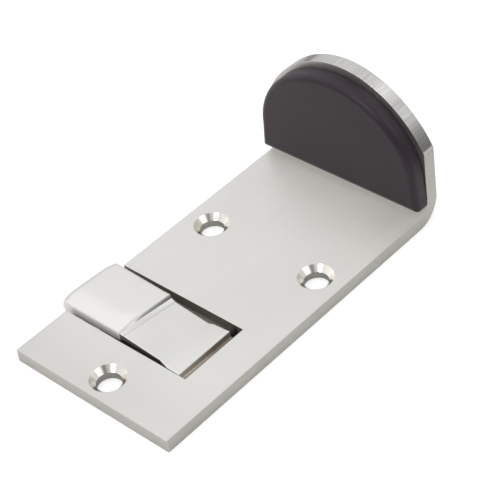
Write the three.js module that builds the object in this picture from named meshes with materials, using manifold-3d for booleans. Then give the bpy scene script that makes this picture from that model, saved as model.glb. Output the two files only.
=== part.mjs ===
// Floor door holder: a bent base plate with a rubber buffer on its upstand and a sprung catch
// in a window of the plate. Millimetres, +Z up. The origin lies on the underside, on the centre
// line, between the two rear screw holes. The door travels along +Y, over the catch, until it
// meets the buffer. Left is -X; front and near are towards -Y, rear and far towards +Y.
import * as THREE from "three";
import { mergeVertices } from "three/addons/utils/BufferGeometryUtils.js";
import Module from "manifold-3d";

const wasm = await Module();
wasm.setup();
const { lerp, smoothstep, clamp, degToRad, radToDeg } = THREE.MathUtils;

// ---- driving dimensions ----
const PAST = 1; // how far cutters run past a face

const PLATE = { width: 55, thick: 4, frontY: -66, standY: 37.5, bendR: 4 }; // bendR: inner radius
const HALF_WIDTH = PLATE.width / 2;
const BACK_Y = PLATE.standY + PLATE.thick; // rear face of the upstand
const BEND_Y = PLATE.standY - PLATE.bendR; // centre of the bend
const BEND_Z = PLATE.thick + PLATE.bendR;
// the upstand's arched top; lean: how far it leans from a circular arc towards a parabola
const RIM = { r: 29.9, z: 11.9, lean: 0.3 };

// floor screw holes: bore, broken edge on the underside, and 90 degree countersink
const FLOOR_HOLE = { r: 3.45, foot: 0.45, sinkR: 5.05 };
const FLOOR_HOLES = [[0, -59.1], [-19, 0], [19, 0]]; // x, y

const WINDOW = { x1: 16.6, y0: -48, y1: -26.2 }; // open at the plate's left edge
const KEEPER = { x0: -17.2, x1: 23, y0: -52.6, y1: -21.6, z0: 0.15, z1: 0.95 };
const KEEPER_GAP = { side: 0.25, top: 0.05 }; // in its recess
const RIB = { halfWidth: 0.8, endGap: 0.1, root: 0.2, pinGap: 0.03 }; // keeper's ribs below the pin
const KEEPER_SCREWS = [[-13.6, -50.3], [19.9, -50.3], [-13.6, -23.9], [19.9, -23.9]]; // x, y
const KEEPER_SCREW = {
  r: 0.95, headR: 1.85, z0: 0.2, tipZ: 3.2, chamfer: 0.3,
  gap: 0.08, threadGap: 0.05, tipGap: 0.2, // clearances in keeper plate and base plate
  crossReach: 1.1, crossHalf: 0.2, crossDepth: 0.5,
};
const SEAT_CUT_Z = 0.5; // the pin seats and thread holes are cut from here, inside the recess

const PIN = { x: 12.8, z: 2.42, r: 0.85, y0: -50.3, y1: -23.9, chamfer: 0.2, boreR: 0.9 };
const PIN_SEAT = { r: 0.88, endGap: 0.1 };
const SPACER = { r: 1.32, endGap: 0.1 };

const LEVER = {
  left: -31.96, leftFar: -30.79, // left end at the near and the far side
  nearY: -46.86, farY: -28.9,
  crestZ: 6.17, underZ: 2.2,
  flareX: 7.9, knuckleNearY: -47.7, knuckleFarY: -28.5, // the sides flare out to the knuckle
  heelX: 15.7, heelZ: 1.7,
  minThick: 0.35,
};
// step down to the tongue: mean place, and its [top, foot] at each side; the near values hold
// at nearY and the far ones a span further
const STEP = { x: -7.7, near: [-8.3, -6.3], far: [-6.9, -4.9], nearY: -46, span: 16.4 };
const STEP_MID_Y = -37.8; // where a step section's x is taken
const STEP_LIP = { run: 0.24, drop: 0.6, power: 1.2, apronPower: 1.3 }; // shares of the step
// top of the block: a ramp rising from the near side, up to the crest; crease: its softness
const RAMP = { z: 5.5, slope: 0.13, crease: 0.1 };
// ground facet: where its border turns towards the near edge, and its slopes
const FACET = { x: -13, y: -41.9, fall: 0.05, tilt: 0.081, crease: 0.06 };
// overhanging left end: corner radii, rounding of the top, and where the rounding stops
const NOSE = { nearR: 2.81, farR: 2.51, reach: 3.05, depth: 3.98, endX: -9 };
const BARREL = { endX: PIN.x + 1.25, round: 0.3, topZ: 3.74, footZ: 2.12 }; // squared end
const LONG_EDGE = { blockR: 0.4, tongueR: 0.22, heelShare: 0.3 }; // rounding along the sides
const HOLLOW = { x0: -26.6, x1: -9.8, wall: 1.9, springGap: 0.03 };
const RELIEF = { inset: 2.6, insetZ: 1.2, outset: 0.3, nearZ: 3.9, farZ: 3.05 };

// deadShare: share of the wire lying flat at each end
const SPRING = {
  x: -13.8, r: 1.75, wireR: 0.25, z0: 0.98, z1: 4.42, turns: 4.25, deadShare: 0.17,
};
const SPRING_PLACES = [["front", -41.9], ["rear", -33.9]]; // name, y

// the buffer reaches past the plate's sides, most at its left foot
const PAD = {
  left: 28.2, right: 27, footLeft: 28.9, footRight: 27.6, corner: 1, minCorner: 0.3,
  z0: 5.9, archZ: 14.4, top: 39.3, // archZ: where the arched outline begins
  thick: 4.8, gap: 0.05, frontRound: 1.9, backEase: 0.2,
};
const PAD_BEND = { gap: 0.15, endAngle: -40, inset: 2, backGap: 0.25, rise: 0.6, halfCut: 40 };
const PAD_BACK = PLATE.standY - PAD.gap;
const PAD_FRONT = PAD_BACK - PAD.thick;

const PAD_FIXES = [["left", -13], ["right", 13]]; // name, x
const PAD_FIX_Z = 20;
const INSERT = { boreR: 2, sleeveR: 3, discR: 5, discT: 1.2, depth: 3.17, backGap: 0.02, gap: 0.03 };
const PAD_SCREW = {
  r: 1.95, headR: 4, depth: 3.5, tipInset: 0.3, tipLength: 0.35, sunk: 0.05,
  plateGap: 0.15, hexR: 1.45, hexDepth: 1.8,
};
const TIP_POCKET = { gap: 0.2, depth: 3.7, mouth: 3.1 }; // in the buffer, for the screw's tip

// facets of round shapes
const SEGMENTS = {
  bend: 14, rim: 44, floorHole: 40, keeperScrew: 24, pinSeat: 16,
  plateSink: 32, turned: 28, padCorner: 6, padArch: 28, padBend: 6,
  springSteps: 96, springWire: 4,
};

// ---- materials ----
const metal = (color, roughness) => ({ color, roughness, metalness: 1 });
const rubber = (color, roughness) => ({ color, roughness, metalness: 0 });
const FINISH = {
  plate: metal(0xc9c8c3, 0.34),
  pad: rubber(0x3d393c, 0.72),
  insert: metal(0xb5893f, 0.4),
  padScrew: metal(0xb9b9b6, 0.3),
  lever: metal(0xd9d8d3, 0.26),
  pin: metal(0x9a9a98, 0.3),
  spacer: rubber(0x1c1c1d, 0.6),
  spring: metal(0xa9a9a6, 0.3),
  keeper: metal(0x8f8f8c, 0.45),
  keeperScrew: metal(0xa5a5a2, 0.35),
};

// ---- solids and meshes ----
const root = new THREE.Group();

function addMesh(name, geometry, finish) {
  const mesh = new THREE.Mesh(geometry, new THREE.MeshStandardMaterial(finish));
  mesh.name = name;
  root.add(mesh);
}

function addSolid(name, body, finish) {
  const { numProp, numVert, vertProperties, triVerts } = body.getMesh();
  const positions = new Float32Array(numVert * 3);
  for (let i = 0; i < numVert; i++) {
    positions.set(vertProperties.subarray(i * numProp, i * numProp + 3), i * 3);
  }
  const geometry = new THREE.BufferGeometry();
  geometry.setAttribute("position", new THREE.BufferAttribute(positions, 3));
  geometry.setIndex(new THREE.BufferAttribute(new Uint32Array(triVerts), 1));
  addMesh(name, geometry, finish);
}

function solid(geometry) {
  const bare = new THREE.BufferGeometry();
  bare.setAttribute("position", geometry.attributes.position);
  bare.setIndex(geometry.index);
  const merged = mergeVertices(bare, 1e-4);
  return new wasm.Manifold(
    new wasm.Mesh({
      numProp: 3,
      vertProperties: new Float32Array(merged.attributes.position.array),
      triVerts: new Uint32Array(merged.index.array),
    }),
  );
}

const vectors = (points) => points.map(([across, up]) => new THREE.Vector2(across, up));

// Points of an arc from one angle to another, in degrees.
function arc(centreX, centreY, radius, from, to, segments, radiusY = radius) {
  return Array.from({ length: segments + 1 }, (_, i) => {
    const angle = degToRad(from + ((to - from) * i) / segments);
    return [centreX + radius * Math.cos(angle), centreY + radiusY * Math.sin(angle)];
  });
}

function extrude(points, depth, matrix) {
  const shape = new THREE.Shape(vectors(points));
  const geometry = new THREE.ExtrudeGeometry(shape, { depth, bevelEnabled: false });
  return solid(geometry.applyMatrix4(new THREE.Matrix4().set(...matrix)));
}

// A profile of [y, z] pushed along X.
function prismX(points, x0, x1) {
  return extrude(points, x1 - x0, [0, 0, 1, x0, 1, 0, 0, 0, 0, 1, 0, 0, 0, 0, 0, 1]);
}

// A profile of [x, z] pushed along Y; z is flipped and back so that the prism isn't mirrored.
function prismY(points, y0, y1) {
  const flipped = points.map(([x, z]) => [x, -z]);
  return extrude(flipped, y1 - y0, [1, 0, 0, 0, 0, 0, 1, y0, 0, -1, 0, 0, 0, 0, 0, 1]);
}

function box([x0, x1], [y0, y1], [z0, z1]) {
  const geometry = new THREE.BoxGeometry(x1 - x0, y1 - y0, z1 - z0);
  return solid(geometry.translate((x0 + x1) / 2, (y0 + y1) / 2, (z0 + z1) / 2));
}

// A body turned about the vertical through x, y: profile of [radius, z], from axis to axis.
function turnedZ(profile, x, y, segments) {
  const geometry = new THREE.LatheGeometry(vectors(profile), segments);
  return solid(geometry.rotateX(Math.PI / 2).translate(x, y, 0));
}

// The same about a line along Y through x, z: profile of [radius, y].
function turnedY(profile, x, z, segments = SEGMENTS.turned) {
  return solid(new THREE.LatheGeometry(vectors(profile), segments).translate(x, 0, z));
}

const rod = (radius, start, end) => [[0, start], [radius, start], [radius, end], [0, end]];

// A closed body through rings of [x, y, z] with equal point counts; fans close the end rings.
function loft(rings) {
  const count = rings[0].length;
  const index = [];
  for (let i = 0; i + 1 < rings.length; i++) {
    for (let j = 0; j < count; j++) {
      const here = i * count + j;
      const next = i * count + ((j + 1) % count);
      index.push(here, here + count, next, next, here + count, next + count);
    }
  }
  const end = (rings.length - 1) * count;
  for (let j = 1; j + 1 < count; j++) index.push(0, j, j + 1, end, end + j + 1, end + j);
  const geometry = new THREE.BufferGeometry();
  geometry.setAttribute("position", new THREE.BufferAttribute(new Float32Array(rings.flat(2)), 3));
  geometry.setIndex(index);
  return solid(geometry);
}

const pinBore = () => turnedY(rod(PIN.boreR, PIN.y0, PIN.y1), PIN.x, PIN.z);

// ---- base plate, bent up into the upstand ----
function bentSheet() {
  const crownZ = RIM.z + RIM.r;
  const side = [
    [PLATE.frontY, 0],
    [BEND_Y, 0],
    ...arc(BEND_Y, BEND_Z, PLATE.bendR + PLATE.thick, -90, 0, SEGMENTS.bend).slice(1),
    [BACK_Y, crownZ + PAST],
    [PLATE.standY, crownZ + PAST],
    ...arc(BEND_Y, BEND_Z, PLATE.bendR, 0, -90, SEGMENTS.bend),
    [PLATE.frontY, PLATE.thick],
  ];
  const shoulder = radToDeg(Math.acos(HALF_WIDTH / RIM.r));
  const shoulderZ = RIM.z + RIM.r * Math.sin(degToRad(shoulder));
  const rim = arc(0, RIM.z, RIM.r, shoulder, 180 - shoulder, SEGMENTS.rim).map(([x, z]) => {
    const parabola = crownZ - (x / HALF_WIDTH) ** 2 * (crownZ - shoulderZ);
    return [x, z + RIM.lean * (parabola - z)];
  });
  const outside = HALF_WIDTH + PAST;
  const outline = [
    [-outside, -PAST], [outside, -PAST], [outside, shoulderZ], ...rim, [-outside, shoulderZ],
  ];
  return prismX(side, -HALF_WIDTH, HALF_WIDTH).intersect(
    prismY(outline, PLATE.frontY - PAST, BACK_Y + PAST),
  );
}

function buildBasePlate() {
  let plate = bentSheet();
  const cut = (cutter) => {
    plate = plate.subtract(cutter);
  };

  const { r, foot, sinkR } = FLOOR_HOLE;
  const floorHole = [
    [0, -PAST],
    [r + foot, -PAST],
    [r + foot, 0],
    [r, foot],
    [r, PLATE.thick - (sinkR - r)],
    [sinkR, PLATE.thick],
    [sinkR, PLATE.thick + PAST],
    [0, PLATE.thick + PAST],
  ];
  for (const [x, y] of FLOOR_HOLES) cut(turnedZ(floorHole, x, y, SEGMENTS.floorHole));

  const { side, top } = KEEPER_GAP;
  cut(
    box(
      [-HALF_WIDTH - PAST, WINDOW.x1],
      [WINDOW.y0, WINDOW.y1],
      [-PAST, PLATE.thick + PAST],
    ),
  );
  cut(
    box(
      [KEEPER.x0 - side, KEEPER.x1 + side],
      [KEEPER.y0 - side, KEEPER.y1 + side],
      [-PAST, KEEPER.z1 + top],
    ),
  );

  // blind seats for the pivot pin, open towards the keeper plate
  const seat = [
    [PIN.x - PIN_SEAT.r, SEAT_CUT_Z],
    [PIN.x + PIN_SEAT.r, SEAT_CUT_Z],
    ...arc(PIN.x, PIN.z, PIN_SEAT.r, 0, 180, SEGMENTS.pinSeat),
  ];
  cut(prismY(seat, PIN.y0 - PIN_SEAT.endGap, WINDOW.y0 + PAST));
  cut(prismY(seat, WINDOW.y1 - PAST, PIN.y1 + PIN_SEAT.endGap));

  const { r: threadR, threadGap, tipZ, tipGap } = KEEPER_SCREW;
  const threadHole = rod(threadR + threadGap, SEAT_CUT_Z, tipZ + tipGap);
  for (const [x, y] of KEEPER_SCREWS) cut(turnedZ(threadHole, x, y, SEGMENTS.keeperScrew));

  // countersunk holes for the buffer's screws
  const shankR = PAD_SCREW.r + PAD_SCREW.plateGap;
  const headR = PAD_SCREW.headR + PAD_SCREW.plateGap;
  const screwHole = [
    [0, PLATE.standY - PAST],
    [shankR, PLATE.standY - PAST],
    [shankR, BACK_Y - (PAD_SCREW.headR - PAD_SCREW.r)],
    [headR, BACK_Y],
    [headR, BACK_Y + PAST],
    [0, BACK_Y + PAST],
  ];
  for (const [, x] of PAD_FIXES) cut(turnedY(screwHole, x, PAD_FIX_Z, SEGMENTS.plateSink));
  addSolid("base_plate", plate, FINISH.plate);
}

// ---- rubber buffer, its moulded-in inserts and the screws from behind ----
// The buffer's outline, drawn in by an inset.
function padOutline(inset) {
  const z0 = PAD.z0 + inset;
  const corner = Math.max(PAD.corner - inset, PAD.minCorner);
  const rise = PAD.top - inset - PAD.archZ;
  const { padCorner, padArch } = SEGMENTS;
  return [
    ...arc(-PAD.footLeft + inset + corner, z0 + corner, corner, 180, 270, padCorner),
    ...arc(PAD.footRight - inset - corner, z0 + corner, corner, -90, 0, padCorner),
    ...arc(0, PAD.archZ, PAD.right - inset, 0, 90, padArch, rise),
    ...arc(0, PAD.archZ, PAD.left - inset, 90, 180, padArch, rise).slice(1),
  ];
}

// A disc at the front and a sleeve behind it, grown all round by a gap.
function insertProfile(gap, frontY, backY) {
  const discBack = frontY + INSERT.discT + 2 * gap;
  return [
    [0, frontY],
    [INSERT.discR + gap, frontY],
    [INSERT.discR + gap, discBack],
    [INSERT.sleeveR + gap, discBack],
    [INSERT.sleeveR + gap, backY],
    [0, backY],
  ];
}

function buildPad() {
  // rings of [inset, y]: the front edge is rounded and the back edge is eased
  const round = PAD.frontRound;
  const rings = [
    ...[0, 15, 30, 45, 60, 75, 90].map(degToRad).map((angle) => [
      round * (1 - Math.sin(angle)),
      PAD_FRONT + round * (1 - Math.cos(angle)),
    ]),
    [0, PAD_BACK - PAD.backEase],
    [PAD.backEase, PAD_BACK],
  ];
  let pad = loft(rings.map(([inset, y]) => padOutline(inset).map(([x, z]) => [x, y, z])));

  // the lower back edge clears the bend
  const { gap, endAngle, inset, backGap, rise, halfCut } = PAD_BEND;
  const bendRelief = [
    [BEND_Y + inset, PLATE.thick],
    [BACK_Y, PLATE.thick],
    [BACK_Y, BEND_Z + rise],
    [PLATE.standY - backGap, BEND_Z + rise],
    [PLATE.standY - backGap, BEND_Z],
    ...arc(BEND_Y, BEND_Z, PLATE.bendR - gap, 0, endAngle, SEGMENTS.padBend).slice(1),
  ];
  pad = pad.subtract(prismX(bendRelief, -halfCut, halfCut));

  const pocketFront = PAD_BACK - INSERT.depth - INSERT.gap;
  const pocket = insertProfile(INSERT.gap, pocketFront, PAD_BACK + PAST);
  const tipR = PAD_SCREW.r + TIP_POCKET.gap;
  const tipPocket = rod(tipR, PAD_BACK - TIP_POCKET.depth, PAD_BACK - TIP_POCKET.mouth);
  for (const [, x] of PAD_FIXES) {
    pad = pad.subtract(turnedY(pocket, x, PAD_FIX_Z));
    pad = pad.subtract(turnedY(tipPocket, x, PAD_FIX_Z));
  }
  addSolid("buffer_pad", pad, FINISH.pad);
}

function buildPadInsert(side, x) {
  const profile = insertProfile(0, PAD_BACK - INSERT.depth, PAD_BACK - INSERT.backGap);
  const bore = rod(INSERT.boreR, PAD_FRONT, PAD_BACK + PAST);
  const insert = turnedY(profile, x, PAD_FIX_Z).subtract(turnedY(bore, x, PAD_FIX_Z));
  addSolid("pad_insert_" + side, insert, FINISH.insert);
}

function buildPadScrew(side, x) {
  const { r, headR, depth, tipInset, tipLength, sunk, hexR, hexDepth } = PAD_SCREW;
  const tipY = PAD_BACK - depth;
  const profile = [
    [0, tipY],
    [r - tipInset, tipY],
    [r, tipY + tipLength],
    [r, BACK_Y - (headR - r) - sunk],
    [headR, BACK_Y - sunk],
    [0, BACK_Y - sunk],
  ];
  const hexagon = arc(x, PAD_FIX_Z, hexR, 0, 300, 5);
  const socket = prismY(hexagon, BACK_Y - hexDepth, BACK_Y + PAST);
  addSolid("pad_screw_" + side, turnedY(profile, x, PAD_FIX_Z).subtract(socket), FINISH.padScrew);
}

// ---- catch lever ----
// sides of the lever, seen from above: x, y
const NEAR_SIDE = [
  [LEVER.left, LEVER.nearY],
  [LEVER.flareX - 1.3, LEVER.nearY],
  [LEVER.flareX + 2, LEVER.knuckleNearY],
];
const FAR_SIDE = [
  [LEVER.left, LEVER.farY + 0.85],
  [STEP.x, LEVER.farY + 0.1],
  [STEP.far[1], LEVER.farY],
  [LEVER.flareX - 1, LEVER.farY],
  [LEVER.flareX + 0.3, LEVER.knuckleFarY],
];
// top of the tongue at each side, from the block to the barrel, and the underside: x, z
const TONGUE_NEAR = [[STEP.x, 5.43], [7.7, 4.0], [12.3, 3.76], [PIN.x, BARREL.topZ]];
const TONGUE_FAR = [[STEP.x, 4.7], [6.4, 3.1], [12.3, 3.64], [PIN.x, BARREL.topZ]];
const UNDERSIDE = [
  [LEVER.left, LEVER.underZ], [-18.2, LEVER.underZ],
  [-17.7, LEVER.underZ + 0.2], [-10.8, LEVER.underZ + 0.2],
  [-7.2, 3.1], [4.0, 2.0], [9.4, 1.45], [11.4, 1.1], [LEVER.heelX, 1.1],
];
// places of the cross-sections: x, or { share } for a share of the way down the step
const STATIONS = [
  ...[0, 0.04, 0.12, 0.25, 0.45, 0.7, 1, 1.35, 1.75, 2.2, 2.7, 3.2, 4, 5.5, 8, 11].map(
    (offset) => LEVER.left + offset,
  ),
  -18.2, -17.7, -15.5, -14, -13, -12, -10.8, -9.9, -9.1,
  ...[0, 0.04, 0.1, 0.17, 0.24, 0.32, 0.45, 0.6, 0.75, 0.88, 1].map((share) => ({ share })),
  -4.2, -3, 0.5, 4, 6.4,
  ...[-1.3, -1, -0.3, 0.3, 1.2, 2].map((offset) => LEVER.flareX + offset),
  11.4, 12.3,
  ...[0, 0.6, 0.95, 1.04, 1.12, 1.18, 1.22, 1.245, 1.3].map((offset) => PIN.x + offset),
  14.9, LEVER.heelX,
];
// distances of a section's points from a side, closer where the edge is rounded, and from the
// near side in between, for the nominal width
const EDGE_OFFSETS = [0, 0.02, 0.06, 0.13, 0.24, 0.4];
const INNER_OFFSETS = [
  0.7, 1.1, 1.6, 2.2, 2.9, 3.7, 4.5, 5.2, 5.9, 6.8,
  8, 9.5, 11, 12.3, 13.5, 14.6, 15.6, 16.4, 17.1,
];

// Value at x of the piecewise straight line through the points.
function along(points, x) {
  for (let i = 1; i < points.length; i++) {
    const [x0, value0] = points[i - 1];
    const [x1, value1] = points[i];
    if (x <= x1) return lerp(value0, value1, (x - x0) / (x1 - x0));
  }
  return points[points.length - 1][1];
}

// The drop from a quarter round's top, at a share of its radius (0 at the top, 1 at its end).
const roundDrop = (share) => 1 - Math.sqrt(Math.max(1 - share * share, 0));

// How far a rounded corner draws the side in, at a distance from the end.
function drawnIn(fromEnd, radius) {
  const run = Math.max(radius - fromEnd, 0);
  return radius - Math.sqrt(Math.max(radius * radius - run ** 2, 0));
}

// How far the rounded left end falls, at distances from the end and from a side.
function noseFall(fromEnd, fromSide, radius) {
  const inCorner = fromEnd < radius && fromSide < radius;
  const fromEdge = inCorner
    ? radius - Math.hypot(radius - fromEnd, radius - fromSide)
    : Math.min(fromEnd, fromSide);
  const turn = Math.atan2(
    Math.max(NOSE.reach - fromSide, 0),
    Math.max(NOSE.reach - fromEnd, 1e-9),
  );
  const drop = roundDrop(clamp(1 - fromEdge / NOSE.reach, 0, 1));
  return (1 - Math.sin(turn) ** 6) * NOSE.depth * drop;
}

// The lower of two heights, with a soft crease.
const lower = (one, other, crease) => (one + other - Math.hypot(one - other, crease)) / 2;

function blockTop(x, y) {
  const ramp = RAMP.z + RAMP.slope * (y - LEVER.nearY);
  const facet = LEVER.crestZ - FACET.fall * (x - FACET.x) + FACET.tilt * (y - FACET.y);
  return lower(lower(ramp, LEVER.crestZ, RAMP.crease), facet, FACET.crease);
}

const widthShare = (y) => (y - LEVER.nearY) / (LEVER.farY - LEVER.nearY);

function tongueTop(x, y) {
  const { endX, round, topZ, footZ } = BARREL;
  if (x > endX) return lerp(footZ, LEVER.heelZ, (x - endX) / (LEVER.heelX - endX));
  const intoRound = x - endX + round;
  if (intoRound > 0) {
    return topZ - round + Math.sqrt(Math.max(round ** 2 - intoRound ** 2, 0));
  }
  return lerp(along(TONGUE_NEAR, x), along(TONGUE_FAR, x), clamp(widthShare(y), 0, 1));
}

// x of the step's top (0) or foot (1) at y.
function stepEnd(end, y) {
  return lerp(STEP.near[end], STEP.far[end], clamp((y - STEP.nearY) / STEP.span, -0.1, 1.1));
}
const stepX = (share, y) => lerp(stepEnd(0, y), stepEnd(1, y), share);

// The step: a steep lip, then a shallow apron down to the tongue.
function stepTop(share, y) {
  const { run, drop, power, apronPower } = STEP_LIP;
  const fallen =
    share < run
      ? drop * (share / run) ** power
      : drop + (1 - drop) * (1 - (1 - (share - run) / (1 - run)) ** apronPower);
  return lerp(blockTop(stepEnd(0, y), y), tongueTop(stepEnd(1, y), y), fallen);
}

function leverSection(station) {
  const { share } = station;
  const onStep = share !== undefined;
  const x = onStep ? stepX(share, STEP_MID_Y) : station;
  const fromEnd = x - LEVER.left;
  const edgeR = x < STEP.x ? LONG_EDGE.blockR : LONG_EDGE.tongueR;
  const edgeShare = x > PIN.x ? LONG_EDGE.heelShare : 1;
  const nearSide = along(NEAR_SIDE, x);
  const farSide = along(FAR_SIDE, x);
  const nearY = nearSide + (x < 0 ? drawnIn(fromEnd, NOSE.nearR) : 0);
  const farY = farSide - (x < 0 ? drawnIn(fromEnd, NOSE.farR) : 0);
  const width = farY - nearY;
  const stretch = width / (LEVER.farY - LEVER.nearY);
  const under = along(UNDERSIDE, x);
  // the left end is skewed, less and less towards the step
  const endSkew =
    (LEVER.leftFar - LEVER.left) * (1 - smoothstep(x, LEVER.left + 3, STEP.x));

  const offsets = [
    ...EDGE_OFFSETS,
    ...INNER_OFFSETS.map((offset) => offset * stretch),
    ...EDGE_OFFSETS.map((offset) => width - offset).reverse(),
  ];
  const top = offsets.map((offset) => {
    const y = nearY + offset;
    let z;
    if (onStep) z = stepTop(share, y);
    else z = x < STEP.x ? blockTop(x, y) : tongueTop(x, y);
    if (x < NOSE.endX) {
      z -= Math.max(
        noseFall(fromEnd, y - nearSide, NOSE.nearR),
        noseFall(fromEnd, farSide - y, NOSE.farR),
      );
    }
    const fromSide = Math.min(y - nearY, farY - y);
    z -= edgeR * roundDrop(clamp(1 - fromSide / edgeR, 0, 1)) * edgeShare;
    const pointX = (onStep ? stepX(share, y) : x) + endSkew * widthShare(y);
    return [pointX, y, Math.max(z, under + LEVER.minThick)];
  });
  const [firstX, firstY] = top[0];
  const [lastX, lastY] = top[top.length - 1];
  return [[firstX, firstY, under], ...top, [lastX, lastY, under]];
}

function buildLever() {
  let lever = loft(STATIONS.map(leverSection));
  // hollow underneath the raised part, where the two springs stand
  lever = lever.subtract(
    box(
      [HOLLOW.x0, HOLLOW.x1],
      [LEVER.nearY + HOLLOW.wall, LEVER.farY - HOLLOW.wall],
      [0, SPRING.z1 + HOLLOW.springGap],
    ),
  );
  // the tongue's lower long edges are relieved
  for (const [y, inward, topZ] of [
    [LEVER.nearY, 1, RELIEF.nearZ],
    [LEVER.farY, -1, RELIEF.farZ],
  ]) {
    const relief = [
      [y - inward * PAST, -PAST],
      [y + inward * RELIEF.inset, -PAST],
      [y + inward * RELIEF.inset, RELIEF.insetZ],
      [y - inward * RELIEF.outset, topZ],
      [y - inward * PAST, topZ],
    ];
    lever = lever.subtract(prismX(relief, STEP.x + 0.3, LEVER.flareX - 1.2));
  }
  addSolid("catch_lever", lever.subtract(pinBore()), FINISH.lever);
}

// ---- pivot pin and its spacer sleeve ----
function buildPin() {
  const { r, y0, y1, chamfer } = PIN;
  const profile = [
    [0, y0], [r - chamfer, y0], [r, y0 + chamfer],
    [r, y1 - chamfer], [r - chamfer, y1], [0, y1],
  ];
  addSolid("pivot_pin", turnedY(profile, PIN.x, PIN.z), FINISH.pin);
}

function buildSpacer() {
  const { r, endGap } = SPACER;
  const sleeve = turnedY(rod(r, LEVER.knuckleFarY + endGap, WINDOW.y1 - endGap), PIN.x, PIN.z);
  addSolid("pivot_spacer", sleeve.subtract(pinBore()), FINISH.spacer);
}

// ---- return springs ----
class Coil extends THREE.Curve {
  constructor(x, y) {
    super();
    this.x = x;
    this.y = y;
  }
  getPoint(t, target = new THREE.Vector3()) {
    const { r, wireR, z0, z1, turns, deadShare } = SPRING;
    const rise = clamp((t - deadShare) / (1 - 2 * deadShare), 0, 1);
    const angle = 2 * Math.PI * turns * t;
    return target.set(
      this.x + r * Math.cos(angle),
      this.y + r * Math.sin(angle),
      z0 + wireR + (z1 - z0 - 2 * wireR) * rise,
    );
  }
}

function buildSpring(place, y) {
  const wire = new THREE.Shape();
  wire.absarc(0, 0, SPRING.wireR, 0, 2 * Math.PI, false);
  const geometry = new THREE.ExtrudeGeometry(wire, {
    steps: SEGMENTS.springSteps,
    curveSegments: SEGMENTS.springWire,
    extrudePath: new Coil(SPRING.x, y),
    bevelEnabled: false,
  });
  addMesh("return_spring_" + place, geometry, FINISH.spring);
}

// ---- keeper plate under the window, and its screws ----
function buildKeeper() {
  const { x0, x1, y0, y1, z0, z1 } = KEEPER;
  let keeper = box([x0, x1], [y0, y1], [z0, z1]);
  const { halfWidth, endGap, root: ribRoot, pinGap } = RIB;
  for (const [start, end] of [[PIN.y0, WINDOW.y0], [WINDOW.y1, PIN.y1]]) {
    keeper = keeper.add(
      box(
        [PIN.x - halfWidth, PIN.x + halfWidth],
        [start + endGap, end - endGap],
        [z1 - ribRoot, PIN.z - PIN.r - pinGap],
      ),
    );
  }
  const { r, headR, z0: headZ, gap } = KEEPER_SCREW;
  const coneZ = headZ + headR - r;
  const hole = [
    [0, -PAST], [headR + gap, -PAST], [headR + gap, headZ],
    [r + gap, coneZ], [r + gap, 2], [0, 2],
  ];
  for (const [x, y] of KEEPER_SCREWS) {
    keeper = keeper.subtract(turnedZ(hole, x, y, SEGMENTS.keeperScrew));
  }
  addSolid("keeper_plate", keeper, FINISH.keeper);
}

// A countersunk screw, head down, with a cross cut in its head.
function buildKeeperScrew(number, x, y) {
  const { r, headR, z0, tipZ, chamfer, crossReach, crossHalf, crossDepth } = KEEPER_SCREW;
  const profile = [
    [0, z0], [headR, z0], [r, z0 + headR - r],
    [r, tipZ - chamfer], [r - chamfer, tipZ], [0, tipZ],
  ];
  let screw = turnedZ(profile, x, y, SEGMENTS.keeperScrew);
  for (const [alongX, alongY] of [[crossReach, crossHalf], [crossHalf, crossReach]]) {
    screw = screw.subtract(
      box([x - alongX, x + alongX], [y - alongY, y + alongY], [-PAST, z0 + crossDepth]),
    );
  }
  addSolid("keeper_screw_" + number, screw, FINISH.keeperScrew);
}

// ---- assembly ----
buildBasePlate();
buildPad();
for (const [side, x] of PAD_FIXES) {
  buildPadInsert(side, x);
  buildPadScrew(side, x);
}
buildLever();
buildPin();
buildSpacer();
for (const [place, y] of SPRING_PLACES) buildSpring(place, y);
buildKeeper();
KEEPER_SCREWS.forEach(([x, y], i) => buildKeeperScrew(i + 1, x, y));

export default root;
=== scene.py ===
"""Looks and studio for a catch mechanism: a base plate with an upstand, a lever and a rubber pad.

The base plate lies flat with +Z up. Its front edge faces -Y, its upstand rises at the +Y end,
and the catch lever turns on a pin that runs along Y. Coordinates are in metres.
"""
import math

import bmesh
import bpy
from mathutils import Matrix, Vector


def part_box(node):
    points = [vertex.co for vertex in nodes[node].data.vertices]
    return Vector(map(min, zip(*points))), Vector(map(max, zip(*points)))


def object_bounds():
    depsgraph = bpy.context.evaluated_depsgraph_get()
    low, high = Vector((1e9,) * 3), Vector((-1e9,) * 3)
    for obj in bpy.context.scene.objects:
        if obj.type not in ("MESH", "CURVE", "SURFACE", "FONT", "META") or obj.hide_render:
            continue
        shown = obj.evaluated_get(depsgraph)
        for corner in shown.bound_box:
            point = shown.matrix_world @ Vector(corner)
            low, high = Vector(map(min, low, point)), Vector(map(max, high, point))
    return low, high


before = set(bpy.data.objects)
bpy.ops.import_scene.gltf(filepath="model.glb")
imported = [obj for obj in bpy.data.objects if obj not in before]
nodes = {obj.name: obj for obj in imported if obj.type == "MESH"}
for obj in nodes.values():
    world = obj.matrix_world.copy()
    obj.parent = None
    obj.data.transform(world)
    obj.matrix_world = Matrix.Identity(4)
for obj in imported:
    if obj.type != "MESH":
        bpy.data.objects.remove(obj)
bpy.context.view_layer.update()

scene = bpy.context.scene
MM = 0.001

# places on the CAD pieces that the materials follow
lever_lo, lever_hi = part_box("catch_lever")
pin_lo, pin_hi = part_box("pivot_pin")
plate_lo, plate_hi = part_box("base_plate")
pin_x = (pin_lo.x + pin_hi.x) / 2
facet_y = lever_lo.y + 5.9 * MM  # where the lever's facet ends
turn_x = pin_x - 25.8 * MM       # where the facet's end line turns to the front edge
step_x = pin_x - 20.9 * MM       # the step in the lever
lip_start_x = step_x - 0.45 * MM


def mm(*lengths):
    return tuple(length * MM for length in lengths)


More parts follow.
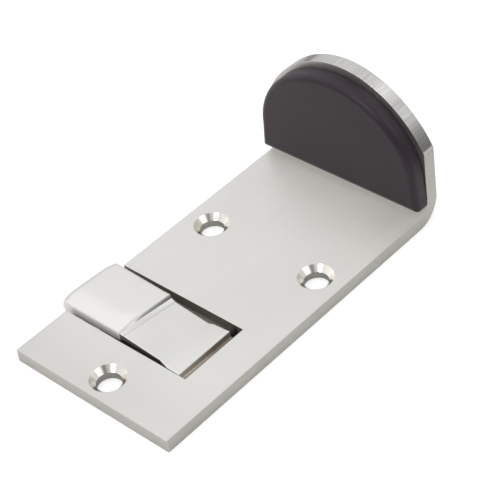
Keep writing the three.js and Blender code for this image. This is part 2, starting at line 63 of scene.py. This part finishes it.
def shade(colour, factor, tint=(1.0, 1.0, 1.0)):
    """The colour times a factor, held at 1."""
    return tuple(min(c * factor * t, 1.0) for c, t in zip(colour, tint))


# ------------------------------------------------------------------ node helpers
class Graph:
    """A node tree, with short ways to add and join nodes."""

    def __init__(self, tree):
        self.tree = tree
        tree.nodes.clear()

    def fill(self, node, inputs):
        """Link or set each input, given by name or index."""
        for key, value in inputs.items():
            if isinstance(value, bpy.types.NodeSocket):
                self.tree.links.new(value, node.inputs[key])
            else:
                node.inputs[key].default_value = value

    def node(self, kind, inputs=None, **props):
        node = self.tree.nodes.new("ShaderNode" + kind)
        for key, value in props.items():
            setattr(node, key, value)
        self.fill(node, inputs or {})
        return node

    def math(self, operation, first, *others, clamp=False):
        values = (first, *(others or (0.0,)))
        node = self.node("Math", dict(enumerate(values)), operation=operation, use_clamp=clamp)
        return node.outputs[0]

    def add(self, value, more):
        return self.math("ADD", value, more)

    def subtract(self, value, less, clamp=False):
        return self.math("SUBTRACT", value, less, clamp=clamp)

    def multiply(self, value, by, clamp=False):
        return self.math("MULTIPLY", value, by, clamp=clamp)

    def weighted(self, first, second, weights):
        return self.add(self.multiply(first, weights[0]), self.multiply(second, weights[1]))

    def remap(self, value, span, to=(0.0, 1.0), **props):
        """Carry the span onto the range `to`, held at its ends."""
        inputs = {"From Min": span[0], "From Max": span[1], "To Min": to[0], "To Max": to[1],
                  "Value": value}
        return self.node("MapRange", inputs, **props).outputs[0]

    def near(self, value, centre, span):
        """1 near the centre, fading to 0 over a span of distances from it."""
        distance = self.math("ABSOLUTE", self.subtract(value, centre))
        return self.remap(distance, span, to=(1.0, 0.0))

    def dot(self, first, second):
        node = self.node("VectorMath", {0: first, 1: second}, operation="DOT_PRODUCT")
        return node.outputs["Value"]

    def axes(self, vector):
        return tuple(self.node("SeparateXYZ", {0: vector}).outputs)

    def mix_shader(self, factor, first, second):
        return self.node("MixShader", {0: factor, 1: first, 2: second}).outputs[0]


class Material(Graph):
    """A material with a Principled shader and object coordinates."""

    def __init__(self, name):
        self.material = bpy.data.materials.new(name)
        self.material.use_nodes = True
        super().__init__(self.material.node_tree)
        self.output = self.node("OutputMaterial")
        self.bsdf = self.node("BsdfPrincipled")
        self.show(self.bsdf.outputs[0])
        self.coords = self.node("TexCoord").outputs["Object"]

    def show(self, shader):
        self.fill(self.output, {"Surface": shader})

    def geometry(self, name):
        return self.node("NewGeometry").outputs[name]

    def stretched(self, scale):
        return self.node("Mapping", {"Vector": self.coords, "Scale": scale}).outputs[0]

    def noise(self, vector, scale=1.0, detail=3.0, roughness=0.5, distortion=0.0):
        inputs = {"Vector": vector, "Scale": scale, "Detail": detail,
                  "Roughness": roughness, "Distortion": distortion}
        return self.node("TexNoise", inputs).outputs["Fac"]

    def mix(self, first, second, factor):
        """From the first colour to the second as the factor goes from 0 to 1."""
        inputs = {0: factor}
        for slot, colour in ((6, first), (7, second)):
            inputs[slot] = (*colour, 1.0) if isinstance(colour, tuple) else colour
        return self.node("Mix", inputs, data_type="RGBA", blend_type="MIX").outputs[2]

    def emission(self, colour, strength):
        return self.node("Emission", {"Color": (*colour, 1.0), "Strength": strength}).outputs[0]

    def bump(self, height, strength, distance, normal=None):
        inputs = {"Strength": strength, "Distance": distance, "Height": height}
        if normal is not None:
            inputs["Normal"] = normal
        return self.node("Bump", inputs).outputs[0]

    def rounded(self, radius):
        return self.node("Bevel", {"Radius": radius}, samples=6).outputs[0]

    def edge_wear(self, radius, gain):
        """0 on a flat surface, towards 1 where an edge is near."""
        facing = self.dot(self.rounded(radius), self.geometry("Normal"))
        return self.multiply(self.subtract(1.0, facing), by=gain, clamp=True)


# ------------------------------------------------------------------ kinds of material
def brushed(name, colour, rough, grain, grain_mm, length_mm, aniso, bump, metallic,
            streak=0.085, wear=0.3, smudge=0.05, edge_mm=0.22, extra=None):
    """Steel with a drawn or brushed grain along one axis.

    `extra` may rework the base colour and give the metallic value and more roughness.
    """
    g = Material(name)
    across, along = 1.0 / (grain_mm * MM), 1.0 / (length_mm * MM)
    grain_scale = tuple(along if axis == grain else across for axis in "XYZ")
    coarse_scale = tuple(v * 0.28 for v in grain_scale)
    fine = g.noise(g.stretched(grain_scale), detail=2.0, roughness=0.6)
    coarse = g.noise(g.stretched(coarse_scale), roughness=0.55)
    broad = g.noise(g.coords, scale=42.0, distortion=0.4)
    spots = g.noise(g.coords, scale=900.0, detail=2.0)
    lines = g.weighted(fine, coarse, weights=(0.55, 0.45))
    # streaked by the grain, clouded by handling, brighter where an edge has been rubbed
    dark = shade(colour, 1 - streak)
    light = shade(colour, 1.05, tint=(1.0, 0.99, 0.97))
    base = g.mix(dark, light, factor=g.remap(lines, span=(0.3, 0.7)))
    clouds = g.remap(broad, span=(0.42, 0.72), to=(0.0, smudge * 4))
    base = g.mix(base, shade(colour, 0.86), factor=clouds)
    rub = g.edge_wear(edge_mm * MM, gain=2.2)
    base = g.mix(base, shade(colour, 1.16), factor=g.multiply(rub, by=wear))
    more_rough = 0.0
    if extra:
        base, metallic, more_rough = extra(g, base, metallic)
    roughness = g.add(rough - 0.07, g.multiply(lines, by=0.12))
    roughness = g.add(roughness, g.remap(broad, span=(0.35, 0.7), to=(0.0, smudge)))
    roughness = g.add(roughness, more_rough)
    roughness = g.subtract(roughness, g.multiply(rub, by=0.08), clamp=True)
    height = g.add(lines, g.multiply(spots, by=0.25))
    tangent = g.node("CombineXYZ", {axis: 1.0 if axis == grain else 0.02 for axis in "XYZ"})
    g.fill(g.bsdf, {
        "Base Color": base,
        "Metallic": metallic,
        "Roughness": roughness,
        "Normal": g.bump(height, strength=bump, distance=0.008 * MM,
                         normal=g.rounded(edge_mm * MM)),
        "Anisotropic": aniso,
        "Tangent": tangent.outputs[0],
    })
    return g.material


def turned(name, colour, rough, grain_mm=0.08, bump=0.3, wear=0.6, edge_mm=0.12):
    """Turned or rolled metal: fine rings and small scratches."""
    g = Material(name)
    rings = g.noise(g.stretched((2600.0, 2600.0, 1.0 / (grain_mm * MM))), detail=2.0)
    scratch = g.noise(g.stretched((5200.0, 700.0, 5200.0)),
                      detail=2.0, roughness=0.6, distortion=0.5)
    broad = g.noise(g.coords, scale=160.0)
    clouds = g.remap(broad, span=(0.35, 0.65))
    base = g.mix(shade(colour, 0.9), shade(colour, 1.06), factor=clouds)
    rub = g.edge_wear(edge_mm * MM, gain=2.0)
    base = g.mix(base, shade(colour, 1.25), factor=g.multiply(rub, by=wear))
    height = g.weighted(rings, scratch, weights=(0.6, 0.4))
    g.fill(g.bsdf, {
        "Base Color": base,
        "Metallic": 1.0,
        "Roughness": g.add(rough - 0.06, g.multiply(scratch, by=0.14)),
        "Normal": g.bump(height, strength=bump, distance=0.01 * MM,
                         normal=g.rounded(edge_mm * MM)),
    })
    return g.material


def rubber(name):
    """Dark rubber with a faint bloom of dust and handling, thicker on the edges."""
    g = Material(name)
    deep, bloom = (0.0212, 0.0142, 0.0200), (0.0270, 0.0190, 0.0256)
    lighter_edge_tone, dust = (0.060, 0.060, 0.066), (0.08, 0.076, 0.076)
    broad = g.noise(g.coords, scale=70.0, detail=4.0, roughness=0.55)
    grain = g.noise(g.coords, scale=2600.0, roughness=0.6)
    pores = g.node("TexVoronoi", {"Vector": g.coords, "Scale": 1500.0}, feature="F1")
    base = g.mix(deep, bloom, factor=g.remap(broad, span=(0.38, 0.66)))
    rub = g.edge_wear(0.5 * MM, gain=1.6)
    base = g.mix(base, lighter_edge_tone, factor=g.multiply(rub, by=0.35))
    base = g.mix(base, dust, factor=g.remap(grain, span=(0.66, 0.8), to=(0.0, 0.25)))
    broad_rough = g.remap(broad, span=(0.3, 0.7), to=(0.28, 0.36))
    height = g.weighted(grain, pores.outputs["Distance"], weights=(0.6, 0.4))
    g.fill(g.bsdf, {
        "Base Color": base,
        "Roughness": g.add(broad_rough, g.multiply(grain, by=0.08)),
        "Specular IOR Level": 0.30,
        "Sheen Weight": 0.05,
        "Normal": g.bump(height, strength=0.24, distance=0.03 * MM),
    })
    # the satin plate scatters too widely to mirror the pad, so reflected rays that rise from the
    # plate see
    # a lighter glowing surface instead: a painted reflection
    glossy_ray = g.node("LightPath").outputs["Is Glossy Ray"]
    ray_z = g.axes(g.geometry("Incoming"))[2]
    rising = g.multiply(glossy_ray, by=g.remap(ray_z, span=(-0.15, 0.05), to=(1.0, 0.0)))
    soft = g.emission((0.60, 0.585, 0.55), strength=0.90)
    g.show(g.mix_shader(rising, g.bsdf.outputs[0], soft))
    return g.material


def nylon(name):
    g = Material(name)
    broad = g.noise(g.coords, scale=220.0)
    grain = g.noise(g.coords, scale=4200.0, detail=2.0)
    g.fill(g.bsdf, {
        "Base Color": g.mix((0.026, 0.023, 0.019), (0.040, 0.036, 0.031), factor=broad),
        "Roughness": g.remap(grain, span=(0.3, 0.7), to=(0.6, 0.75)),
        "Specular IOR Level": 0.2,
        "Normal": g.bump(grain, strength=0.3, distance=0.02 * MM, normal=g.rounded(0.1 * MM)),
    })
    return g.material


# ------------------------------------------------------------------ details of single pieces
def catch_details(g, base, metallic):
    """Painted light and shade on the lever: a flat tone on the facet along the front edge, a painted
    tone on the sides, painted shade in the lip and the recess, a painted highlight on a corner, and
    brown grime by the pin darkened with painted shade.
    """
    facet, side_painted_tone, lighter_edge_tone = (0.77, 0.763, 0.742), (0.74, 0.735, 0.705), (0.92, 0.915, 0.90)
    lip_painted_shade, foot_painted_shade, recess_painted_shade = (0.30, 0.31, 0.30), (0.36, 0.36, 0.35), (0.105, 0.097, 0.082)
    thin_grime, dark_grime_and_shade, grazing_painted_shade = (0.64, 0.575, 0.49), (0.056, 0.038, 0.022), (0.34, 0.34, 0.33)

    normal_z = g.axes(g.geometry("Normal"))[2]
    x, y, _ = g.axes(g.coords)
    noise = g.noise(g.coords, scale=260.0, detail=4.0, roughness=0.6)
    mottle = g.subtract(noise, 0.5)

    # the facet ends along a straight line, then turns towards the front edge before the step; inside
    # it a flat painted tone stands in for the light on the facet
    straight = g.subtract(facet_y, y)
    slanted = g.weighted(g.subtract(x, turn_x), g.subtract(y, facet_y), weights=(-0.68, -0.733))
    inside = g.add(g.math("MINIMUM", straight, slanted), g.multiply(mottle, by=0.5 * MM))
    base = g.mix(base, facet, factor=g.remap(inside, span=mm(-0.6, 0.3)))

    # the sides get a painted tone of their own and less metal, standing in for their shading
    side = g.remap(g.math("ABSOLUTE", normal_z), span=(0.35, 0.6), to=(1.0, 0.0))
    base = g.mix(base, side_painted_tone, factor=g.multiply(side, by=0.9))

    # painted shade in the slightly slanted lip of the step, and fainter painted shade at its foot
    lip_x = g.add(g.multiply(g.subtract(y, lever_lo.y), by=0.085), lip_start_x)
    past_lip = g.add(g.subtract(x, lip_x), g.multiply(mottle, by=0.25 * MM))
    top = g.subtract(1.0, side)
    lip = g.multiply(g.remap(past_lip, span=mm(-0.1, 0.12)),
                     by=g.remap(past_lip, span=mm(0.35, 0.75), to=(1.0, 0.0)))
    foot = g.near(past_lip, centre=1.95 * MM, span=mm(0.1, 0.45))
    base = g.mix(base, lip_painted_shade, factor=g.multiply(g.multiply(lip, top), by=0.20))
    base = g.mix(base, foot_painted_shade, factor=g.multiply(g.multiply(foot, top), by=0.22))

    # a painted highlight on the corner where the block's side ends, and painted shade in the recess
    # to its right
    corner = g.near(x, centre=lip_start_x, span=mm(0.12, 0.32))
    base = g.mix(base, lighter_edge_tone, factor=g.multiply(corner, side))
    past_step = g.remap(x, span=(step_x - 0.15 * MM, step_x + 0.15 * MM))
    recess = g.multiply(side, past_step)
    base = g.mix(base, recess_painted_shade, factor=recess)

    # brown grime to the right of the pin, darkened with painted shade towards the back and farther
    # to the right
    grime = g.remap(g.add(x, g.multiply(mottle, by=0.08 * MM)),
                    span=(pin_x + 1.00 * MM, pin_x + 1.30 * MM))
    back = g.remap(g.add(y, g.multiply(mottle, by=6 * MM)),
                   span=(lever_lo.y, lever_lo.y + 13 * MM))
    deep = g.remap(x, span=(pin_x + 1.30 * MM, pin_x + 2.3 * MM))
    grime_and_shade_depth = g.math("MAXIMUM", g.multiply(back, by=0.75), deep)
    base = g.mix(base, g.mix(thin_grime, dark_grime_and_shade, factor=grime_and_shade_depth), factor=grime)

    # painted shade where the surface turns away from the camera
    facing = g.node("LayerWeight", {"Blend": 0.5}).outputs["Facing"]
    base = g.mix(base, grazing_painted_shade, factor=g.remap(facing, span=(0.80, 0.97), to=(0.0, 0.55)))

    # painted shade and grime take away metal and add roughness
    shade_and_grime = g.math("MAXIMUM", recess, grime)
    metal = g.multiply(g.remap(side, span=(0.0, 1.0), to=(metallic, metallic * 0.3)),
                       by=g.remap(shade_and_grime, span=(0.0, 1.0), to=(1.0, 0.2)))
    return base, metal, g.multiply(shade_and_grime, by=0.25)


def plate_darkening(g, base, metallic):
    """Darker towards the front end, and painted shade from the pad inside the bend on the right."""
    x, y, _ = g.axes(g.coords)
    front = g.multiply(g.remap(y, span=mm(-62, -46), to=(1.0, 0.0)),
                       by=g.remap(x, span=mm(-4, 24), to=(0.10, 0.05)))
    bend = g.multiply(g.remap(y, span=mm(14, 28), to=(0.0, 0.12)),
                      by=g.remap(x, span=mm(6, 22)))
    bend = g.multiply(bend, by=g.remap(y, span=mm(31, 34), to=(1.0, 0.0)))
    return g.mix(base, (0.0, 0.0, 0.0), factor=g.add(front, bend)), metallic, 0.0


# ------------------------------------------------------------------ materials
plate_top = brushed(
    "plate_brushed", (0.718, 0.713, 0.698), rough=0.40, grain="Y", grain_mm=0.11, length_mm=16.0,
    aniso=0.4, bump=0.16, metallic=0.72, streak=0.05, extra=plate_darkening)
plate_cut = brushed(
    "plate_cut_edge", (0.62, 0.612, 0.59), rough=0.40, grain="X", grain_mm=0.20, length_mm=3.0,
    aniso=0.2, bump=0.5, metallic=0.9, streak=0.12, wear=0.5, smudge=0.10)
rim_cut = brushed(
    "plate_rim_edge", (0.80, 0.795, 0.78), rough=0.22, grain="Y", grain_mm=0.30, length_mm=9.0,
    aniso=0.3, bump=0.9, metallic=0.97, streak=0.22, wear=0.4, smudge=0.06)
upstand_face = brushed(
    "upstand_face", (0.60, 0.598, 0.575), rough=0.27, grain="Z", grain_mm=0.14, length_mm=12.0,
    aniso=0.3, bump=0.3, metallic=0.95, streak=0.08, smudge=0.06)
# the window's cut walls are made dark brown: painted shade inside the window
window_cut = brushed(
    "window_cut_wall", (0.20, 0.19, 0.16), rough=0.5, grain="Z", grain_mm=0.22, length_mm=3.0,
    aniso=0.1, bump=0.5, metallic=0.6, streak=0.2, wear=0.2, smudge=0.10, edge_mm=0.1)
countersink = turned("countersink_polished", (0.92, 0.887, 0.832), rough=0.21,
                     grain_mm=0.10, bump=0.16, wear=0.2, edge_mm=0.1)
bore = turned("bore_drilled", (0.36, 0.355, 0.34), rough=0.30,
              grain_mm=0.12, bump=0.5, wear=0.3, edge_mm=0.1)
catch_satin = brushed(
    "catch_satin", (0.785, 0.780, 0.764), rough=0.31, grain="Y", grain_mm=0.14, length_mm=4.0,
    aniso=0.2, bump=0.05, metallic=0.86, streak=0.025, extra=catch_details)
pad_rubber = rubber("buffer_rubber")
brass = turned("insert_brass", (0.72, 0.53, 0.26), rough=0.32)
screw_steel = turned("screw_steel", (0.66, 0.655, 0.64), rough=0.28)
pin_steel = turned("pin_steel", (0.60, 0.595, 0.585), rough=0.24)
spring_wire = turned("spring_wire", (0.30, 0.285, 0.26), rough=0.36, edge_mm=0.05)
keeper_sheet = brushed(
    "keeper_sheet", (0.36, 0.35, 0.33), rough=0.46, grain="X", grain_mm=0.16, length_mm=10.0,
    aniso=0.35, bump=0.35, metallic=0.8, wear=0.5, smudge=0.10, edge_mm=0.15)
spacer_nylon = nylon("spacer_nylon")


# ------------------------------------------------------------------ CAD nodes
def dress(name, material, angle=32.0):
    """Weld a CAD node, smooth it up to the angle in degrees, and give it its material."""
    piece = nodes[name]
    mesh = piece.data
    for attribute in ("custom_normal", "sharp_edge", "sharp_face"):
        if attribute in mesh.attributes:
            mesh.attributes.remove(mesh.attributes[attribute])
    mesh.polygons.foreach_set("use_smooth", [True] * len(mesh.polygons))
    weld = piece.modifiers.new("weld", "WELD")
    weld.merge_threshold = 2e-6
    split = piece.modifiers.new("split", "EDGE_SPLIT")
    split.split_angle = math.radians(angle)
    split.use_edge_sharp = False
    mesh.materials.clear()
    mesh.materials.append(material)
    return piece


def dress_plate():
    """The base plate, with its own material on each kind of cut face."""
    mesh = dress("base_plate", plate_top, 30.0).data
    for material in (plate_cut, window_cut, countersink, rim_cut, bore, upstand_face):
        mesh.materials.append(material)
    sheared, window, sink, rim, bored, upstand = range(1, 7)

    upstand_y = plate_hi.y - 4.05 * MM
    front_y = plate_lo.y + 1 * MM
    upstand_z = 9.0 * MM    # faces above this belong to the upstand
    arch_drop = 29.9 * MM   # from the top of the upstand down to the arch's centre
    arch_reach = 26 * MM    # the arched rim lies farther than this from that centre
    for face in mesh.polygons:
        c, n = face.center, face.normal
        behind = c.y > upstand_y
        from_arch = Vector((c.x, 0, c.z - plate_hi.z + arch_drop)).length
        by_window = (lever_lo.y - 1.5 * MM < c.y < lever_hi.y + 3.0 * MM
                     and plate_lo.x + 0.05 * MM < c.x < pin_x + 4.5 * MM)
        if not behind and c.z < 5.0 * MM and abs(abs(n.z) - 0.7071) < 0.03:
            face.material_index = sink
        elif by_window and abs(n.z) < 0.5:
            face.material_index = window  # and the seats that open into it
        elif abs(n.z) < 0.3 and c.z < 4.0 * MM and abs(c.x) < 26.5 * MM and c.y > front_y:
            face.material_index = bored
        elif abs(n.x) > 0.9 or (n.y < -0.9 and c.y < front_y):
            face.material_index = sheared
        elif behind and abs(n.y) < 0.2 and c.z > upstand_z and from_arch > arch_reach:
            face.material_index = rim
        elif n.y < -0.95 and c.z > upstand_z:
            face.material_index = upstand


dress_plate()
pad_normals = dress("buffer_pad", pad_rubber, 35.0).modifiers.new("normals", "WEIGHTED_NORMAL")
pad_normals.keep_sharp = True
pad_normals.weight = 50
dress("catch_lever", catch_satin, 38.0)
for hand in ("left", "right"):
    dress("pad_insert_" + hand, brass)
    dress("pad_screw_" + hand, screw_steel)
dress("pivot_pin", pin_steel)
dress("pivot_spacer", spacer_nylon)
for end in ("front", "rear"):
    dress("return_spring_" + end, spring_wire, 60.0)
dress("keeper_plate", keeper_sheet)
for i in range(1, 5):
    dress(f"keeper_screw_{i}", screw_steel)


# ------------------------------------------------------------------ floor
def floor_material():
    """Pale to the camera; grey in reflections, and darker away from the product."""
    g = Material("floor_pale")
    path = g.node("LightPath")
    speck = g.noise(g.coords, scale=30.0)
    pale = g.mix((0.93, 0.93, 0.925), (0.95, 0.95, 0.945), factor=speck)
    distance = g.node("VectorMath", {0: g.coords}, operation="LENGTH").outputs["Value"]
    mirrored = g.mix((0.64, 0.635, 0.62), (0.10, 0.10, 0.10),
                     factor=g.remap(distance, span=(0.10, 0.32)))
    g.fill(g.bsdf, {
        "Base Color": g.mix(pale, mirrored, factor=path.outputs["Is Glossy Ray"]),
        "Roughness": 0.9,
        "Specular IOR Level": 0.1,
    })
    glow = g.emission((1.0, 1.0, 1.0), strength=1.15)
    glow_share = g.multiply(path.outputs["Is Camera Ray"], by=0.45)
    g.show(g.mix_shader(glow_share, g.bsdf.outputs[0], glow))
    return g.material


def add_floor():
    grid = bmesh.new()
    bmesh.ops.create_grid(grid, x_segments=4, y_segments=4, size=3.0)
    mesh = bpy.data.meshes.new("floor")
    grid.to_mesh(mesh)
    grid.free()
    floor = bpy.data.objects.new("floor", mesh)
    gap = 0.00002
    floor.location = (0, 0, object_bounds()[0][2] - gap)
    scene.collection.objects.link(floor)
    mesh.materials.append(floor_material())


add_floor()

# ------------------------------------------------------------------ world
# brightness from the side facing away from SKY_AXIS (0) to the side along it (1)
SKY_AXIS = (-0.55, 0.05, 0.83)
SKY_STOPS = [
    (0.0, 0.16), (0.30, 0.15), (0.42, 0.21), (0.50, 0.34), (0.60, 0.50),
    (0.70, 0.60), (0.90, 0.74), (0.945, 0.82), (0.978, 1.10), (1.0, 1.22),
]
# soft panels: direction, inner angle, outer angle (degrees), added brightness
PANELS = [
    ((0.71, 0.24, 0.66), 8, 23, 0.95),     # right
    ((0.05, -0.71, 0.70), 2, 9, 9.0),      # front, small and bright
    ((-0.62, -0.62, 0.47), 6, 30, 0.22),   # front left
    ((0.24, 0.507, 0.83), 4, 15, 0.50),    # high at the back
    ((-0.96, -0.19, 0.16), 8, 26, 0.35),   # low on the left
    ((0.50, 0.76, 0.42), 6, 16, 0.30),     # back right
]
DARK_PANEL = ((0.63, -0.26, 0.73), 5, 15, 0.35)  # taken away on the camera's side


def build_world():
    world = bpy.data.worlds.new("studio")
    scene.world = world
    world.use_nodes = True
    g = Graph(world.node_tree)
    output = g.node("OutputWorld")
    direction = g.node("TexCoord").outputs["Generated"]

    def lobe(towards, inner, outer, amount):
        """A soft panel: full within the inner angle, gone at the outer one."""
        span = (math.cos(math.radians(outer)), math.cos(math.radians(inner)))
        return g.remap(g.dot(direction, Vector(towards).normalized()), span,
                       to=(0.0, amount), interpolation_type="SMOOTHSTEP")

    along = g.dot(direction, Vector(SKY_AXIS).normalized())
    zero_to_one = g.math("MULTIPLY_ADD", along, 0.5, 0.5)
    ramp = g.node("ValToRGB", {0: zero_to_one})
    elements = ramp.color_ramp.elements
    for position, _ in SKY_STOPS[1:-1]:
        elements.new(position)
    for element, (position, value) in zip(elements, SKY_STOPS):
        element.position = position
        element.color = (value, value, value * 0.995, 1)
    sky = g.node("RGBToBW", {0: ramp.outputs[0]}).outputs[0]

    panels = lobe(*PANELS[0])
    for panel in PANELS[1:]:
        panels = g.add(panels, lobe(*panel))
    level = g.subtract(g.add(sky, panels), lobe(*DARK_PANEL))
    level = g.math("MAXIMUM", level, 0.03)
    grey = g.node("CombineColor", {channel: level for channel in range(3)}).outputs[0]
    studio = g.node("Background", {"Color": grey, "Strength": 1.0})
    # beyond the floor's edge the camera sees plain white
    plain = g.node("Background", {"Color": (1.0, 1.0, 1.0, 1.0)})
    camera_ray = g.node("LightPath").outputs["Is Camera Ray"]
    g.fill(output, {0: g.mix_shader(camera_ray, studio.outputs[0], plain.outputs[0])})


build_world()


# ------------------------------------------------------------------ light and camera
def add_fill_light():
    """A broad light from above that doesn't show in reflections."""
    place = Vector((0.1, -0.2, 1.2))
    light = bpy.data.lights.new("fill_top", "AREA")
    light.energy = 13.0
    light.shape = "RECTANGLE"
    light.size = light.size_y = 2.0
    lamp = bpy.data.objects.new("fill_top", light)
    scene.collection.objects.link(lamp)
    lamp.location = place
    lamp.rotation_euler = (-place).to_track_quat("-Z", "Y").to_euler()  # aims at the origin
    lamp.visible_glossy = False


def add_camera():
    """It stands to the right of the front edge and looks down along the plate."""
    lens = bpy.data.cameras.new("camera")
    lens.lens = 123.74
    lens.sensor_width = 36.0
    lens.sensor_fit = "HORIZONTAL"
    lens.clip_start = 0.01
    camera = bpy.data.objects.new("camera", lens)
    scene.collection.objects.link(camera)
    place = Vector((0.25998, -0.23780, 0.30729))
    forward = Vector((-0.564541, 0.506593, -0.651657)).normalized()
    rough_up = Vector((-0.37136, 0.54920, 0.74865)).normalized()
    right = forward.cross(rough_up).normalized()
    up = right.cross(forward).normalized()
    turn = Matrix((right, up, -forward)).transposed().to_4x4()
    camera.matrix_world = Matrix.Translation(place) @ turn
    scene.camera = camera


add_fill_light()
add_camera()

scene.view_settings.view_transform = "Standard"
scene.view_settings.look = "None"
scene.view_settings.exposure = 0.0

bpy.context.view_layer.update()
